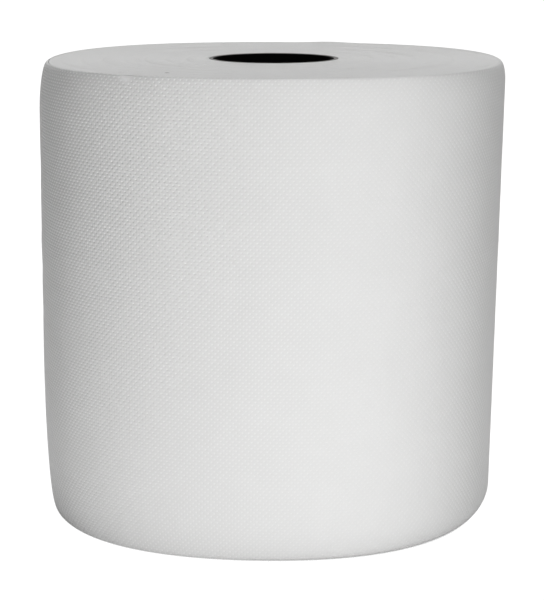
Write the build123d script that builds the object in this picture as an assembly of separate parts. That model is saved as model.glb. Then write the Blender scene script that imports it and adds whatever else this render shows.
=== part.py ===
# A roll of embossed paper towel standing on one end: the wound paper, and the board tube that it is wound on.
# The origin is the centre of the end that it stands on. +Z runs up the roll's axis and -Y is its front.

from build123d import *
from math import atan2, degrees, sqrt
import os

# Driving dimensions, in millimetres and degrees.

# The web is slit to this width, which is the roll's height when it stands.
web_width = 195.0
# The soft roll has lain packed among others, so its round outline is a little squared. These are its reach
# at the middles of the four sides and at the corners, and the radius that the corners are bent to.
side_reach = 100.0
corner_reach = 104.6
corner_radius = 80.0
# The sides are turned by this much from square to the front.
side_turn = -3.2
# The board tube is sawn in one stroke with the paper, so its ends are flush with the paper's.
core_outer_radius = 28.25
core_bore_radius = 26.25
# At each end the outer turns give way: over this height the side curves in by this much.
shoulder_height = 16.0
shoulder_draw = 1.5
# The rim between the shoulder and the flat of the end is worn to a small bevel.
rim_height = 1.5
rim_width = 1.9
# The web's loose end makes a step down the back: two embossed sheets over the turn below.
tail_step = 0.4
# The turns show on both ends as one shallow slit that winds out from the core.
slit_pitch = 9.0
slit_width = 1.4
slit_depth = 0.5
slit_turns = 7
# The rim has one small dent, on the left of the front. Its angle is taken about the centre of the corner's arc.
dent_angle = 63.0
dent_radius = 4.0
dent_depth = 0.5

slit_radius = (core_outer_radius + side_reach - shoulder_draw - rim_width - slit_turns * slit_pitch) / 2

# Each side is a wide arc about a centre beyond the axis. The line from that centre through the corner's centre
# crosses the outline where the two arcs meet, so they meet in line.
corner_centre = (corner_reach - corner_radius) / sqrt(2)
corner_depth = side_reach - corner_radius
side_centre = (corner_depth**2 - 2 * corner_centre**2) / (2 * (corner_centre - corner_depth))
side_radius = side_reach + side_centre
meeting_angle = degrees(atan2(corner_centre, corner_centre + side_centre))


def round_half(draw_profile, extra):
    """Half of a round turn: draw_profile(extra) gives its section, in the plane of +X and +Z."""
    return [revolve(draw_profile(extra), Axis.Z, 180)]


def squared_half(draw_profile, extra):
    """Half of a squared turn, from the middle of one side to the middle of the side across from it.

    draw_profile(radius) gives the section of an arc of that radius. Each arc turns about a centre of its own.
    """
    corner_turn = 90 - 2 * meeting_angle
    runs = [
        ((-side_centre, 0), side_radius, 0, meeting_angle),
        ((corner_centre, corner_centre), corner_radius, meeting_angle, corner_turn),
        ((0, -side_centre), side_radius, 90 - meeting_angle, 2 * meeting_angle),
        ((-corner_centre, corner_centre), corner_radius, 90 + meeting_angle, corner_turn),
        ((side_centre, 0), side_radius, 180 - meeting_angle, meeting_angle),
    ]
    return [
        Pos(*centre, 0) * Rot(0, 0, start) * revolve(draw_profile(radius + extra), Axis.Z, turn)
        for centre, radius, start, turn in runs
    ]


def growing_turn(draw_half, draw_profile, growth):
    """One turn that grows. Its halves are shifted to both sides of the axis.

    So they meet on the left, and on the right the first stands further out than the second by the growth.
    """
    shift = Pos(growth / 4, 0, 0)
    first = [shift * run for run in draw_half(draw_profile, growth / 2)]
    second = [Rot(0, 0, 180) * shift * run for run in draw_half(draw_profile, 0)]
    return first + second


def roll_section(radius):
    """Half of the upright section: the flats of both ends, the bevelled rims, the soft shoulders and the side."""
    flat = radius - shoulder_draw - rim_width
    rim = (radius - shoulder_draw, rim_height)
    shoulder = TangentArc((radius, shoulder_height), rim, tangent=(0, -1))
    low_end = Line((flat, 0), rim) + shoulder
    high_end = mirror(low_end, Plane.XZ.offset(-web_width / 2))
    side = Line((radius, shoulder_height), (radius, web_width - shoulder_height))
    inside = Polyline((flat, web_width), (0, web_width), (0, 0), (flat, 0))
    return Plane.XZ * make_face(low_end + side + high_end + inside)


def slit_section(radius):
    """The slit's V at the top end. It is drawn taller than the slit, so that it cuts clean through the face."""
    reach = 2 * slit_depth
    half_width = slit_width / 2 * reach / slit_depth
    low = web_width - slit_depth
    corners = [(radius, low), (radius + half_width, low + reach), (radius - half_width, low + reach)]
    return Plane.XZ * make_face(Polyline(*corners, close=True))


def make_paper_roll():
    """All the turns of the web as one solid."""
    solid = Part() + growing_turn(squared_half, roll_section, tail_step)
    solid -= Cylinder(core_outer_radius, 2 * web_width)
    slit = Part()
    for turn in range(slit_turns):
        radius = slit_radius + turn * slit_pitch
        slit += growing_turn(round_half, lambda extra: slit_section(radius + extra), slit_pitch)
    solid -= [slit, mirror(slit, Plane.XY.offset(web_width / 2))]
    rim_middle = Vector(corner_radius - shoulder_draw - rim_width / 2, 0, web_width - rim_height / 2)
    outward = Vector(rim_height, 0, rim_width).normalized()
    dent = Pos(rim_middle + outward * (dent_radius - dent_depth)) * Sphere(dent_radius)
    front_left = Rot(0, 0, 90) * Pos(corner_centre, corner_centre, 0) * Rot(0, 0, dent_angle) * dent
    return Rot(0, 0, 90 + side_turn) * (solid - front_left)


def make_core_tube():
    """The board tube: a plain wall from end to end of the roll."""
    wall = Circle(core_outer_radius) - Circle(core_bore_radius)
    return extrude(wall, web_width)


os.makedirs("parts", exist_ok=True)
export_step(make_paper_roll(), "parts/paper_roll.step")
export_step(make_core_tube(), "parts/core_tube.step")
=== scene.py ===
import bpy
import math
import numpy as np
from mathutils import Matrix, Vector


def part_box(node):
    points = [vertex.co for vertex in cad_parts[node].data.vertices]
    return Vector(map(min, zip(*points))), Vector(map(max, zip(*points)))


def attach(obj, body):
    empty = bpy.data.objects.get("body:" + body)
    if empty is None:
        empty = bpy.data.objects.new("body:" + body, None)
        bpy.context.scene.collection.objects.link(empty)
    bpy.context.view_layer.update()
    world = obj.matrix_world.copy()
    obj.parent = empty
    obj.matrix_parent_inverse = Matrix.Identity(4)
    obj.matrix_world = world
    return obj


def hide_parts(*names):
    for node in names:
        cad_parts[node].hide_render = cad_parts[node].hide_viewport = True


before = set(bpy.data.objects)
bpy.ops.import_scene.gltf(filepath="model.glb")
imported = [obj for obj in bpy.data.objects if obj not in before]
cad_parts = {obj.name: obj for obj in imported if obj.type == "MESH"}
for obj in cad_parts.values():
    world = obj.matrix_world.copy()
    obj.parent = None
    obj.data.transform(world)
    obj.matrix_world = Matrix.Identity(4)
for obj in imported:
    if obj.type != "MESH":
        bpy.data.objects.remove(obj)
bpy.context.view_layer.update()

# The camera looks a little down on the front of the roll, from about seven and a half of its radii away.
# Its place and lens are fitted, so that the ends, the sides and the rows of dots fall where the photograph
# has them.
web_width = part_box("paper_roll")[1].z
roll_radius = -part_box("paper_roll")[0].y
# The soft roll leans to the right as it stands, by this share of its height, about its middle.
lean = 0.0126
camera_distance = 0.7521
camera_height = 0.2549
look_down = math.radians(12.585)
look_right = math.radians(0.130)
camera_tilt = math.radians(-0.045)
lens_length = 102.93

camera_data = bpy.data.cameras.new("camera")
camera_data.lens = lens_length
camera_data.clip_start = 0.05
camera_data.clip_end = 20.0
camera = bpy.data.objects.new("camera", camera_data)
camera.location = (-lean * web_width / 2, -camera_distance, camera_height)
camera.rotation_euler = (math.pi / 2 - look_down, camera_tilt, -look_right)
bpy.context.scene.collection.objects.link(camera)
bpy.context.scene.camera = camera


# The core tube: strips of board wound on a mandrel and glued, then sawn to length in one stroke with the
# paper. The paper grips it, so it leans with the roll. Its skin is near black, the inside of the hole too,
# and its sawn upper end is paler.
core_outer_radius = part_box("core_tube")[1].x
core_wall = 0.002
core_gap = 0.0002
core_chamfer = 0.0002
chamfer_height = 0.0004
core_columns = 192
core_levels = 40
first_level = 0.004
# The inner strip winds up the tube, and its edge stands proud of its next lap by strip_step.
strip_step = 0.00012
strip_height = 0.082
strip_edge_share = 0.05
sawn_from = web_width - 0.0003
sawn_to = web_width - 0.0001
skin_dark = (0.003, 0.003, 0.003, 1)
skin_light = (0.007, 0.0065, 0.006, 1)
sawn_dark = (0.12, 0.115, 0.11, 1)
sawn_light = (0.20, 0.195, 0.185, 1)
# On its map a mesh fills the space within these limits. A mesh with flat ends has them in two strips above.
map_margin = 0.005
map_top = 0.99
flat_end_from = 0.992
flat_end_height = 0.003


def axis_at(height):
    """How far the leaning roll's axis lies to the right at this height."""
    return lean * (height - web_width / 2)


def around(angle, radius, height):
    """Points at these angles round the leaning axis: 0 is the front and a quarter turn is the right side."""
    angle, radius, height = np.broadcast_arrays(angle, radius, height)
    across = radius * np.sin(angle) + axis_at(height)
    return np.stack([across, -radius * np.cos(angle), height], -1)


def face_normals(points):
    """The outward normal of each cell of a grid whose rows go round a closed section, by the cell's size."""
    above = np.roll(points, -1, axis=0)
    first = above[:, 1:] - points[:, :-1]
    second = above[:, :-1] - points[:, 1:]
    return np.cross(first, second)


def corner_normals(points, smooth, ring):
    """The normals at the low and high corners of each cell.

    They are shared along each row, and from row to row within a run of rows that has one smooth number.
    """
    faces = face_normals(points)
    if ring:
        sides = faces + np.roll(faces, 1, axis=1)
        sides = np.concatenate([sides, sides[:, :1]], axis=1)
    else:
        blank = np.zeros_like(faces[:, :1])
        sides = np.concatenate([faces, blank], axis=1) + np.concatenate([blank, faces], axis=1)
    same_below = (smooth == np.roll(smooth, 1))[:, None, None]
    same_above = (smooth == np.roll(smooth, -1))[:, None, None]
    low = sides + same_below * np.roll(sides, 1, axis=0)
    high = sides + same_above * np.roll(sides, -1, axis=0)
    low /= np.linalg.norm(low, axis=2, keepdims=True)
    high /= np.linalg.norm(high, axis=2, keepdims=True)
    return low, high


def end_normal(outline):
    """The direction that a flat outline faces, out of the piece at its last column."""
    middle = outline.mean(axis=0)
    arms = outline - middle
    normal = np.cross(arms, np.roll(arms, -1, axis=0)).sum(axis=0)
    return normal / np.linalg.norm(normal)


def make_piece(name, points, low, high, row_share, ring, point_values=None):
    """A mesh from a grid of points. Its rows go round a closed section, and its columns go round the roll.

    low and high are the normals at the corners of its cells. row_share says how much of the map's height
    each row of cells takes. A piece that isn't a ring is closed by the section's own outline at both ends.
    point_values are numbers kept at the points, by name.
    """
    rows, columns = points.shape[:2]
    kept = columns - 1 if ring else columns
    index = np.arange(rows * kept).reshape(rows, kept)
    if ring:
        index = np.concatenate([index, index[:, :1]], axis=1)
    over = np.roll(index, -1, axis=0)
    quads = np.stack([index[:, :-1], index[:, 1:], over[:, 1:], over[:, :-1]], -1).reshape(-1, 4)
    normals = np.stack([low[:, :-1], low[:, 1:], high[:, 1:], high[:, :-1]], 2).reshape(-1, 3)
    tops = np.concatenate([[0.0], np.cumsum(row_share)]) / np.sum(row_share)
    across = np.linspace(map_margin, 1 - map_margin, columns)
    up = map_margin + (map_top - map_margin) * tops
    on_map = np.empty((rows, columns - 1, 4, 2))
    on_map[..., 0, :] = np.stack(np.meshgrid(across[:-1], up[:-1]), -1)
    on_map[..., 1, :] = np.stack(np.meshgrid(across[1:], up[:-1]), -1)
    on_map[..., 2, :] = np.stack(np.meshgrid(across[1:], up[1:]), -1)
    on_map[..., 3, :] = np.stack(np.meshgrid(across[:-1], up[1:]), -1)
    on_map = on_map.reshape(-1, 2)
    corners = quads.ravel()
    starts = np.arange(0, len(corners), 4)
    if not ring:
        along = np.linspace(0, 1, rows)
        first_end = (index[::-1, 0], -end_normal(points[:, 0]))
        last_end = (index[:, -1], end_normal(points[:, -1]))
        for number, (outline, facing) in enumerate((first_end, last_end)):
            starts = np.append(starts, len(corners))
            corners = np.concatenate([corners, outline])
            normals = np.concatenate([normals, np.tile(facing, (rows, 1))])
            arch = flat_end_from + flat_end_height * (number + np.sin(np.pi * along))
            on_map = np.concatenate([on_map, np.stack([along, arch], -1)])
    mesh = bpy.data.meshes.new(name)
    mesh.vertices.add(rows * kept)
    mesh.vertices.foreach_set("co", points[:, :kept].reshape(-1).astype(np.float32))
    mesh.loops.add(len(corners))
    mesh.loops.foreach_set("vertex_index", corners.astype(np.int32))
    mesh.polygons.add(len(starts))
    mesh.polygons.foreach_set("loop_start", starts.astype(np.int32))
    layer = mesh.uv_layers.new(name="OFBake", do_init=False)
    layer.uv.foreach_set("vector", on_map.reshape(-1).astype(np.float32))
    for label, values in (point_values or {}).items():
        attribute = mesh.attributes.new(label, "FLOAT", "POINT")
        attribute.data.foreach_set("value", values[:, :kept].reshape(-1).astype(np.float32))
    mesh.update(calc_edges=True)
    flat = mesh.attributes.new("sharp_face", "BOOLEAN", "FACE")
    flat.data.foreach_set("value", np.arange(len(starts)) >= len(quads))
    mesh.normals_split_custom_set(normals.astype(np.float32))
    piece = bpy.data.objects.new(name, mesh)
    bpy.context.scene.collection.objects.link(piece)
    return piece


class Wire:
    """One output of a material's nodes. Arithmetic on it adds Math nodes, and node() adds any other kind."""

    def __init__(self, tree, output):
        self.tree = tree
        self.output = output

    def node(self, kind, settings, inputs, output=0):
        """Adds a node: its settings come first, then the value or the wire of each of its sockets."""
        made = self.tree.nodes.new(kind)
        for name, value in settings.items():
            setattr(made, name, value)
        for name, value in inputs.items():
            if isinstance(value, Wire):
                self.tree.links.new(value.output, made.inputs[name])
            else:
                made.inputs[name].default_value = value
        return Wire(self.tree, made.outputs[output])

    def math(self, operation, *terms):
        return self.node("ShaderNodeMath", {"operation": operation}, dict(enumerate(terms)))

    def vector(self, operation, *terms):
        return self.node("ShaderNodeVectorMath", {"operation": operation}, dict(enumerate(terms)))

    def scaled(self, factor):
        return self.node("ShaderNodeVectorMath", {"operation": "SCALE"}, {0: self, "Scale": factor})

    def __add__(self, other):
        return self.math("ADD", self, other)

    def __sub__(self, other):
        return self.math("SUBTRACT", self, other)

    def __rsub__(self, other):
        return self.math("SUBTRACT", other, self)

    def __mul__(self, other):
        return self.math("MULTIPLY", self, other)

    __radd__ = __add__
    __rmul__ = __mul__


def new_material(name, evenly):
    """A material with these even values on its shader, and the wire of a point's place in metres."""
    material = bpy.data.materials.new(name)
    material.use_nodes = True
    tree = material.node_tree
    shader = tree.nodes["Principled BSDF"]
    for socket, value in evenly.items():
        shader.inputs[socket].default_value = value
    place = Wire(tree, tree.nodes.new("ShaderNodeTexCoord").outputs["Object"])
    return material, shader, place


def noise(place, scale, detail):
    """Blender's noise, from 0 to 1, with this many lumps to the metre."""
    return place.node("ShaderNodeTexNoise", {}, {"Vector": place, "Scale": scale, "Detail": detail}, "Fac")


def part_of(vector, axis):
    """A vector's part along the axis X, Y or Z."""
    return vector.node("ShaderNodeSeparateXYZ", {}, {"Vector": vector}, axis)


def mix_colours(factor, first, second):
    """A colour between two others, which may be wires or plain colours."""
    settings = {"data_type": "RGBA", "blend_type": "MIX"}
    return factor.node("ShaderNodeMix", settings, {0: factor, 6: first, 7: second}, 2)


def soft_step(value, low, high):
    """0 below low and 1 above high, and smooth between."""
    settings = {"interpolation_type": "SMOOTHSTEP"}
    return value.node("ShaderNodeMapRange", settings, {"Value": value, "From Min": low, "From Max": high})


def connect(wire, shader, socket):
    """Leads a wire to a socket of a shader."""
    wire.tree.links.new(wire.output, shader.inputs[socket])


def bump(height, depth):
    """A normal from a height between 0 and 1 that stands for this depth in metres."""
    return height.node("ShaderNodeBump", {}, {"Height": height, "Distance": depth}, "Normal")


core_angles = np.linspace(0, 2 * np.pi, core_columns + 1)
levels = np.linspace(first_level, web_width - first_level, core_levels)
core_heights = np.concatenate([[0.0, chamfer_height], levels, [web_width - chamfer_height, web_width]])
up_strip = (core_heights[:, None] / strip_height + core_angles[None] / (2 * np.pi)) % 1.0
strip_relief = strip_step * np.clip(up_strip / strip_edge_share, 0, 1) * (1 - up_strip)
chamfer = core_chamfer * ((core_heights == 0) | (core_heights == web_width))[:, None]
core_outside = core_outer_radius - core_gap - chamfer + 0 * core_angles[None]
core_inside = core_outer_radius - core_wall + strip_relief + chamfer
core_points = np.concatenate([
    around(core_angles[None], core_outside, core_heights[:, None]),
    around(core_angles[None], core_inside, core_heights[:, None])[::-1],
])
# Its rows are the outside, the upper end, the inside and the lower end. The inside has most of the map.
core_rows = len(core_heights)
core_runs = [core_rows - 1, 1, core_rows - 1, 1]
core_smooth = np.repeat([0, 1, 2, 3], core_runs)
core_share = np.repeat([0.2 / core_rows, 0.1, 0.6 / core_rows, 0.1], core_runs)
core_low, core_high = corner_normals(core_points, core_smooth, True)
core_tube = make_piece("core_tube_board", core_points, core_low, core_high, core_share, True)

core_board, core_shader, place = new_material("core_board", {"Specular IOR Level": 0.2})
fibres = noise(place, 1400.0, 4.0)
sawn = soft_step(part_of(place, "Z"), sawn_from, sawn_to)
board_skin = mix_colours(fibres, skin_dark, skin_light)
sawn_end = mix_colours(fibres, sawn_dark, sawn_light)
connect(mix_colours(sawn, board_skin, sawn_end), core_shader, "Base Color")
connect(0.75 + 0.2 * fibres, core_shader, "Roughness")
connect(bump(fibres, 0.0001), core_shader, "Normal")
core_tube.data.materials.append(core_board)
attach(core_tube, "root")
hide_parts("core_tube")


# The wound paper: well over a hundred turns of thin embossed paper, wound tight on the tube. Its ends are
# the cut edges of all those turns. They are soft and wave a little, and one slack turn winds out lower.
corner_spread = 0.0226
flat_turned = math.radians(-3.2)
soft_radius = 1.0225 * roll_radius
left_widening = 0.0003
# How far each shoulder draws in, and how far along the side it reaches. The lower one gives way more.
top_draw = 0.0027
top_reach = 0.0130
foot_draw = 0.0050
foot_reach = 0.0234
shoulder_bluntness = 1.9
tail_angle = math.radians(176.8)
sheet_thickness = 0.00035
sheet_gap = 0.00004
tube_gap = 0.00005
turn_pitch = 0.00045
slack_pitch = 0.009
slack_depth = 0.00022
slack_share = 0.07
wave_count = 5
wave_depth = 0.00004
relief_fade = 0.002
# The upper rim swells a little at the back, beside the loose edge.
swell_angle = math.radians(164.0)
swell_width = 0.010
swell_rise = 0.0004
end_columns = 384
end_rings = 100
hidden_levels = 16
edges_light = (0.80, 0.80, 0.795, 1)
edges_dark = (0.66, 0.66, 0.655, 1)
turn_line_share = 0.45
speck_place = (-0.041, -0.0713, web_width)
speck_radius = 0.0006
speck_edge = 0.0013
speck_dark = (0.12, 0.11, 0.10, 1)


def section(angle):
    """The roll's radius at its middle height. It has lain packed among others, so it is a little squared."""
    return soft_radius * (1 - corner_spread * np.cos(4 * (angle - flat_turned)))


def shoulder_draw(angle, top):
    """How far the rim lies inside the side: least at the top's front, and most at the right of the foot."""
    if top:
        uneven = -0.0006 * np.sin(angle) - 0.0005 * np.cos(angle) - 0.0003 * np.cos(2 * angle)
        return top_draw + uneven
    return foot_draw + 0.0010 * np.sin(angle)


def shoulder_height(angle, top):
    """How far from the end the side starts to come in: further on the left than on the right."""
    if top:
        return top_reach * np.exp(-0.5 * np.sin(angle))
    return foot_reach * np.exp(-1.14 * np.sin(angle))


def side_radius(angle, height):
    """The radius of the roll's outside, less the dots. Each shoulder is a quarter of an oval."""
    radius = section(angle) + left_widening * (1 - np.sin(angle)) / 2 * (height / web_width - 0.5)
    for top in (False, True):
        from_end = web_width - height if top else height
        into = np.clip(1 - from_end / shoulder_height(angle, top), 0, 1)
        curve = 1 - (1 - into ** shoulder_bluntness) ** (1 / shoulder_bluntness)
        radius = radius - shoulder_draw(angle, top) * curve
    return radius


def end_relief(angle, radius, seed):
    """How far the cut edges of the turns lie below the end's plane."""
    rng = np.random.default_rng(seed)
    winds = radius / slack_pitch - (angle - tail_angle) / (2 * np.pi)
    slack = slack_depth * np.exp(-((((winds + 0.5) % 1.0) - 0.5) / slack_share) ** 2)
    waves = 0
    for _ in range(wave_count):
        lobes = rng.integers(1, 5)
        pitch = rng.uniform(0.006, 0.03)
        phase = rng.uniform(0, 2 * np.pi)
        waves = waves + wave_depth * (1 + np.sin(lobes * angle + 2 * np.pi * radius / pitch + phase))
    return slack + waves


def along_rim(angle, middle, width):
    """1 at this place on the rim, and less and less over this distance from it."""
    off = np.abs((angle - middle + np.pi) % (2 * np.pi) - np.pi) * roll_radius
    return np.exp(-(off / width) ** 2)


end_angles = np.linspace(0, 2 * np.pi, end_columns + 1)
ring_places = np.linspace(0, 1, end_rings + 1)[:, None]


def end_points(top):
    """The grid of one end, from the tube to the outer turn, and the number of turns inside each point."""
    plane = web_width if top else 0.0
    rim = side_radius(end_angles, np.full(end_columns + 1, plane)) - sheet_thickness - sheet_gap
    start = core_outer_radius + tube_gap
    radius = start + ring_places * (rim[None] - start)
    low = end_relief(end_angles[None], radius, 3 if top else 4)
    low *= np.clip((radius - start) / relief_fade, 0, 1)
    low *= np.clip((rim[None] - radius) / relief_fade, 0, 1)
    height = web_width - low if top else low
    if top:
        near_rim = np.clip(1 - (rim[None] - radius) / swell_width, 0, 1)
        height = height + swell_rise * near_rim * along_rim(end_angles, swell_angle, swell_width)[None]
    return around(end_angles[None], radius, height), (radius - start) / turn_pitch


# Its rows are the lower end, the side that the outer turn hides, the upper end and the wall of the hole.
foot_points, foot_turns = end_points(False)
top_points, top_turns = end_points(True)
side_heights = np.linspace(0, web_width, hidden_levels)[1:-1, None]
hidden_side = side_radius(end_angles[None], side_heights) - sheet_thickness - sheet_gap
side_points = around(end_angles[None], hidden_side, side_heights)
wound_points = np.concatenate([foot_points, side_points, top_points[::-1]])
wound_turns = np.concatenate([foot_turns, 0 * hidden_side, top_turns[::-1]])
wound_runs = [end_rings, len(side_heights) + 1, end_rings, 1]
wound_smooth = np.repeat([0, 1, 2, 3], wound_runs)
wound_share = np.repeat([0.44 / end_rings, 0.04 / len(side_heights), 0.44 / end_rings, 0.05], wound_runs)
wound_low, wound_high = corner_normals(wound_points, wound_smooth, True)
wound_paper = make_piece(
    "wound_paper", wound_points, wound_low, wound_high, wound_share, True, {"turn": wound_turns}
)


def kept_number(place, name):
    """The wire of a number that the mesh keeps at its points."""
    return place.node("ShaderNodeAttribute", {"attribute_name": name}, {}, "Fac")


even_paper = {"Specular IOR Level": 0.25, "Sheen Weight": 0.1, "Sheen Roughness": 0.6}
cut_edges, end_shader, place = new_material("cut_edges", even_paper)
uneven = noise(place, 160.0, 3.0)
fibres = noise(place, 2600.0, 3.0)
# line is 0 between two turns and 1 at the middle of a turn.
wandering = kept_number(place, "turn") + 0.7 * uneven
line = wandering.math("PINGPONG", wandering, 0.5) * 2
# Painted shade: the cut edges are darker in the narrow gaps between the turns.
painted_shade_between_turns = 1 - soft_step(line, 0.0, turn_line_share)
measure = {"operation": "DISTANCE"}
from_speck = place.node("ShaderNodeVectorMath", measure, {0: place, 1: speck_place}, "Value")
speck = 1 - soft_step(from_speck, speck_radius, speck_edge)
plain_edges = mix_colours(0.35 * painted_shade_between_turns + 0.35 * fibres + 0.2 * uneven, edges_light, edges_dark)
connect(mix_colours(speck, plain_edges, speck_dark), end_shader, "Base Color")
connect(0.85 + 0.1 * fibres, end_shader, "Roughness")
connect(bump(0.6 * line + 0.4 * fibres, 0.0002), end_shader, "Normal")
wound_paper.data.materials.append(cut_edges)
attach(wound_paper, "root")
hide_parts("paper_roll")


# The outer turn: one lap of the web, embossed all over with round dots, pressed in, in staggered rows.
# It lies on the turns below it and ends in the web's loose edge, down the back. It is made as four lengths.
dots_round = 260
row_pitch = 0.00127
samples_to_dot = 4
samples_to_row = 2
dot_depth = 0.00016
dot_sharpness = 5.0
# About the mean of a dot's depth over its place. The paper comes out by as much, so it isn't drawn in.
mean_dot = 0.15
# The rows are creased as well, by this share of the depth: inward on the left and outward on the right.
row_crease = 0.05
# The material leans the dots' walls by this much more than the mesh does.
wall_lean = 2.4
lengths = 4
tail_step = 0.0004
loose_lift = 0.00035
loose_reach = 0.012
inner_rows = 10
profile_steps = 1200
lap_steps = 4000
# The upper rim has a small nick on the left of the front, where the dots are pressed smooth.
nick_angle = math.radians(-34.2)
nick_width = 0.0026
nick_depth = 0.0002
rim_band = 0.0030
# The web's tension varied a little across its width. Each band has a height, a half width and a swell.
slack_bands_at = (
    (0.150, 0.006, -0.00012),
    (0.118, 0.004, 0.00014),
    (0.107, 0.003, -0.00012),
    (0.088, 0.004, -0.00010),
)
paper_light = (0.93, 0.93, 0.925, 1)
paper_dark = (0.53, 0.53, 0.525, 1)

# The lap starts at the loose edge. Its columns are evenly spaced along the paper.
fine = np.linspace(0, 2 * np.pi, lap_steps + 1)
fine_points = np.stack([section(fine) * np.sin(fine), section(fine) * np.cos(fine)], -1)
steps = np.linalg.norm(np.diff(fine_points, axis=0), axis=1)
run = np.concatenate([[0.0], np.cumsum(steps)])
lap = run[-1]
start_run = np.interp(tail_angle, fine, run)
columns = dots_round * samples_to_dot + 1
column_run = np.linspace(0, lap, columns)
outer_angles = np.interp((start_run + column_run) % lap, run, fine)
rise = tail_step * (1 - column_run / lap)

# Its rows are evenly spaced along the paper too, over the shoulders.
eased = web_width * (1 - np.cos(np.linspace(0, np.pi, profile_steps))) / 2
row_lines = samples_to_row * round(web_width / row_pitch) + 1
outer_radius = np.empty((row_lines, columns))
outer_height = np.empty((row_lines, columns))
for column, angle in enumerate(outer_angles):
    radius = side_radius(angle, eased)
    length = np.concatenate([[0.0], np.cumsum(np.hypot(np.diff(radius), np.diff(eased)))])
    wanted = np.linspace(0, length[-1], row_lines)
    outer_radius[:, column] = np.interp(wanted, length, radius)
    outer_height[:, column] = np.interp(wanted, length, eased)


def slack_bands(height, angle):
    """The faint raised and sunken bands round the roll, plainest on the left of the front."""
    bands = 0
    for middle, width, swell in slack_bands_at:
        bands = bands + swell * np.exp(-((height - middle) / width) ** 2)
    return bands * (0.6 + 0.4 * np.cos(angle + 1.0))


outer_radius += rise[None] + slack_bands(outer_height, outer_angles[None])
lifted = loose_lift * np.exp(-(column_run / loose_reach) ** 2)[None]
outer_radius += lifted * (0.6 + 0.4 * np.sin(outer_height * 55.0 + 1.0))
at_rim = np.clip((outer_height - web_width + rim_band) / rim_band, 0, 1)
nick = at_rim * along_rim(outer_angles, nick_angle, nick_width)[None]
swell = at_rim * along_rim(outer_angles, swell_angle, swell_width)[None]
outer_height += swell_rise * swell - nick_depth * nick
outer_radius -= nick_depth * nick

# Its rows are the outside, the upper cut edge, the inside and the lower cut edge.
inner_lines = np.linspace(row_lines - 1, 0, inner_rows).round().astype(int)
outer_base = around(outer_angles[None], outer_radius, outer_height)
outer_runs = [row_lines - 1, 1, inner_rows - 1, 1]
outer_smooth = np.repeat([0, 1, 2, 3], outer_runs)
outer_share = np.repeat([0.9 / row_lines, 0.01, 0.06 / inner_rows, 0.01], outer_runs)


def with_inside(outside):
    """Closes the outer turn's section: its cut edges, and the inside of the sheet on fewer rows."""
    inner_radius = outer_radius[inner_lines] - sheet_thickness
    inside = around(outer_angles[None], inner_radius, outer_height[inner_lines])
    return np.concatenate([outside, inside])


def near_angle(middle, tightness):
    """1 at this angle round the roll, in degrees, and less and less away from it."""
    return np.exp(tightness * (np.cos(outer_angles - math.radians(middle)) - 1))[None]


# How plainly the dots show, from 0 to 1, in their depth and in their painted shade and light. This is fitted
# to
# the photograph and not measured: they are plainest high on the left, plainer again at the right edge, and
# faint between.
plain_left = near_angle(-75.0, 1.6)
plain_right = 0.5 * near_angle(80.0, 4.0)
plain_up = np.interp(outer_height, [0.03, 0.15], [0.35, 1.0])
less_between = 1 - 0.5 * near_angle(25.0, 12.0)
smoothed = np.clip(1 - 2 * nick, 0, 1)
dot_plainness = (0.1 + 0.9 * (plain_left * plain_up + plain_right)) * less_between * smoothed

# A dot's place is one turn of along_dot wide. The next row is half a turn of along_row up, and staggered.
outer_low, outer_high = corner_normals(with_inside(outer_base), outer_smooth, False)
outward = np.concatenate([outer_low[:row_lines - 1], outer_high[row_lines - 2:row_lines - 1]])
along_dot = 2 * np.pi / samples_to_dot * np.arange(columns)[None] + 0 * outer_radius
along_row = np.pi / samples_to_row * np.arange(row_lines)[:, None] + 0 * outer_radius
side_sign = np.clip(4.0 * np.cos(outer_angles + math.radians(72.0)), -1, 1)[None]
crease = row_crease * side_sign + 0 * outer_radius
dots = (0.5 + 0.5 * np.cos(along_dot) * np.cos(along_row)) ** dot_sharpness
dots = dots + crease * np.cos(2 * along_row)
pressed = dot_depth * dot_plainness * (dots - mean_dot)
outer_points = with_inside(outer_base - outward * pressed[..., None])
blank = np.zeros((inner_rows, columns))
point_values = {
    "along_dot": np.concatenate([along_dot, blank]),
    "along_row": np.concatenate([along_row, blank]),
    "dot_plainness": np.concatenate([dot_plainness, blank]),
    "crease": np.concatenate([crease, blank]),
}

embossed_paper, outer_shader, place = new_material("embossed_paper", even_paper)
fibres = noise(place, 2200.0, 4.0)
cloudy = noise(place, 45.0, 2.0)
connect(0.82 + 0.12 * fibres, outer_shader, "Roughness")
dot_turn = kept_number(place, "along_dot")
row_turn = kept_number(place, "along_row")
plainness = kept_number(place, "dot_plainness")
row_fold = kept_number(place, "crease")
cos_dot = dot_turn.math("COSINE", dot_turn)
sin_dot = dot_turn.math("SINE", dot_turn)
cos_row = row_turn.math("COSINE", row_turn)
sin_row = row_turn.math("SINE", row_turn)

# The slopes of the dots' walls, across the roll and up it, from the same formula as the mesh.
wave = 0.5 + 0.5 * cos_dot * cos_row
steepness = 0.5 * dot_sharpness * wave.math("POWER", wave, dot_sharpness - 1)
creased = 4 * row_fold * sin_row * cos_row
dot_pitch = lap / dots_round
lean_across = wall_lean * dot_depth * 2 * math.pi / dot_pitch
lean_up = wall_lean * dot_depth * math.pi / row_pitch
slope_across = plainness * (steepness * sin_dot * cos_row) * lean_across
slope_up = plainness * (steepness * cos_dot * sin_row + creased) * lean_up
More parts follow.
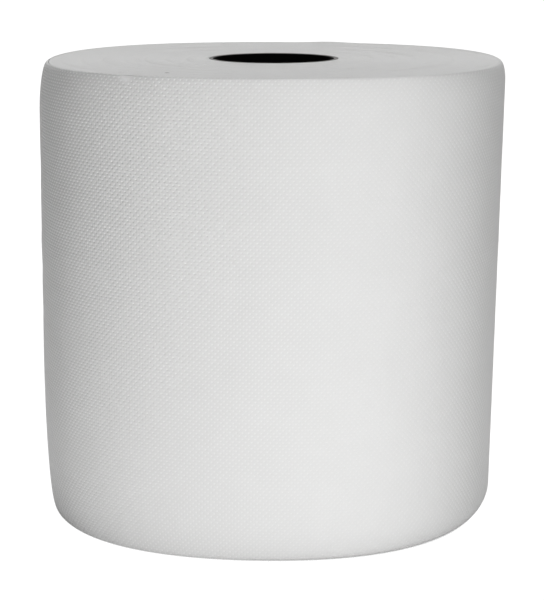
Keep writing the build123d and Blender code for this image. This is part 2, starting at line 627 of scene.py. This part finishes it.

# Painted shade and light: the colour is darker between the dots and paler on their floors, and paler on
# their upper and left walls. That adds to what the soft light gives, and is fitted to the photograph too.
painted_shade_between_dots = plainness * (1 - wave.math("POWER", wave, dot_sharpness))
bare_shade = 0.11 + 0.12 * fibres + 0.08 * cloudy
tone_and_painted_shade = bare_shade + 0.55 * painted_shade_between_dots - 0.13 * plainness - 0.40 * slope_up + 0.35 * slope_across
connect(mix_colours(tone_and_painted_shade, paper_light, paper_dark), outer_shader, "Base Color")
facing = bump(fibres, 0.00006)
across = facing.vector("CROSS_PRODUCT", (0, 0, 1), facing)
up = facing.vector("CROSS_PRODUCT", facing, across)
leaning = facing.vector("SUBTRACT", facing, across.scaled(slope_across))
leaning = leaning.vector("SUBTRACT", leaning, up.scaled(slope_up))
connect(leaning.vector("NORMALIZE", leaning), outer_shader, "Normal")

for number in range(lengths):
    first = number * (columns - 1) // lengths
    last = (number + 1) * (columns - 1) // lengths + 1
    outer_turn = make_piece(
        f"outer_turn_{number + 1}",
        outer_points[:, first:last],
        outer_low[:, first:last],
        outer_high[:, first:last],
        outer_share,
        False,
        {label: values[:, first:last] for label, values in point_values.items()},
    )
    outer_turn.data.materials.append(embossed_paper)
    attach(outer_turn, "root")
    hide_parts("paper_roll")


# The floor: a plain pale sheet, which isn't part of the roll. Round the roll it gives a little light, as a
# lit floor does. The camera sees it only in the shade under the roll, and the white surround elsewhere.
floor_steps = [0.0, 0.09, 0.12, 0.16, 0.22, 0.30, 0.40, 0.52, 0.66, 12.0]
floor_sectors = 32
floor_pale = (0.62, 0.62, 0.62, 1)
floor_glow = 0.26
foot_inset = 0.004
glow_starts = (0.0, 0.03)
glow_fades = (0.10, 0.65)
shade_edge = (-0.002, 0.001)

# A disc lies inside the first step, and a ring between each two steps. The rings glow, all but the last.
floor_angles = np.linspace(0, 2 * np.pi, floor_sectors, endpoint=False)
floor_points = []
for step in floor_steps[1:]:
    floor_points += [(step * math.sin(angle), -step * math.cos(angle), 0.0) for angle in floor_angles]
floor_faces = [tuple(range(floor_sectors))]
glowing = [0]
last_ring = len(floor_steps) - 2
for ring in range(1, last_ring + 1):
    inner = (ring - 1) * floor_sectors
    outer = ring * floor_sectors
    for sector in range(floor_sectors):
        after = (sector + 1) % floor_sectors
        floor_faces.append((inner + sector, outer + sector, outer + after, inner + after))
        glowing.append(int(ring < last_ring))
floor_mesh = bpy.data.meshes.new("floor")
floor_mesh.from_pydata(floor_points, [], floor_faces)
floor = bpy.data.objects.new("floor", floor_mesh)
bpy.context.scene.collection.objects.link(floor)

even_floor = {"Base Color": floor_pale, "Roughness": 0.9, "Specular IOR Level": 0.1}
for glow in (0.0, floor_glow):
    floor_white, floor_shader, place = new_material("floor_white", even_floor | {"Emission Strength": glow})
    from_axis = place.vector("SUBTRACT", place, (axis_at(0.0), 0, 0))
    away = from_axis.node("ShaderNodeVectorMath", {"operation": "LENGTH"}, {0: from_axis}, "Value")
    across = part_of(from_axis, "X")
    four_turns = 4 * (across.math("ARCTAN2", across, -1 * part_of(from_axis, "Y")) - flat_turned)
    foot_radius = (soft_radius - foot_inset) * (1 - corner_spread * four_turns.math("COSINE", four_turns))
    from_foot = away - foot_radius
    if glow:
        lit = soft_step(from_foot, *glow_starts) - soft_step(away, *glow_fades)
        lit = lit.math("MAXIMUM", lit, 0.0)
        connect(mix_colours(lit, (0, 0, 0, 1), (1, 1, 1, 1)), floor_shader, "Emission Color")
    camera_sees = place.node("ShaderNodeLightPath", {}, {}, "Is Camera Ray")
    clear = camera_sees * soft_step(from_foot, *shade_edge)
    sheet = Wire(place.tree, floor_shader.outputs[0])
    surround = place.node("ShaderNodeBsdfTransparent", {}, {})
    seen_floor = place.node("ShaderNodeMixShader", {}, {0: clear, 1: sheet, 2: surround})
    connect(seen_floor, place.tree.nodes["Material Output"], "Surface")
    floor_mesh.materials.append(floor_white)
floor_mesh.polygons.foreach_set("material_index", glowing)


# The studio: a lit white backdrop behind, a soft light overhead, and two low lights in front.
# The surround gives no light, and the camera sees it as plain white.
world = bpy.data.worlds.new("studio")
world.use_nodes = True
bpy.context.scene.world = world
background = world.node_tree.nodes["Background"]
room = Wire(world.node_tree, background.outputs[0])
camera_sees = room.node("ShaderNodeLightPath", {}, {}, "Is Camera Ray")
connect(mix_colours(camera_sees, (0.0, 0.0, 0.0, 1), (1.1, 1.1, 1.1, 1)), background, "Color")


def soft_light(name, azimuth, elevation, distance, size, power):
    """A square light that looks at the middle of the roll. Azimuth 0 is the front and 90 is the right."""
    light_data = bpy.data.lights.new(name, "AREA")
    light_data.size = size
    light_data.energy = power
    light = bpy.data.objects.new(name, light_data)
    turned = math.radians(azimuth)
    raised = math.radians(elevation)
    level = math.cos(raised)
    towards = Vector((math.sin(turned) * level, -math.cos(turned) * level, math.sin(raised)))
    light.location = Vector((0, 0, web_width / 2)) + distance * towards
    light.rotation_euler = towards.to_track_quat("Z", "Y").to_euler()
    bpy.context.scene.collection.objects.link(light)


soft_light("backdrop", 180, 20, 2.5, 2.5, 84)
soft_light("top_light", 20, 80, 2.0, 1.6, 19)
soft_light("low_right_light", 20, -5, 0.65, 0.12, 1.44)
soft_light("low_left_light", -21, -2, 0.9, 0.2, 2.02)

bpy.context.scene.view_settings.view_transform = "Standard"
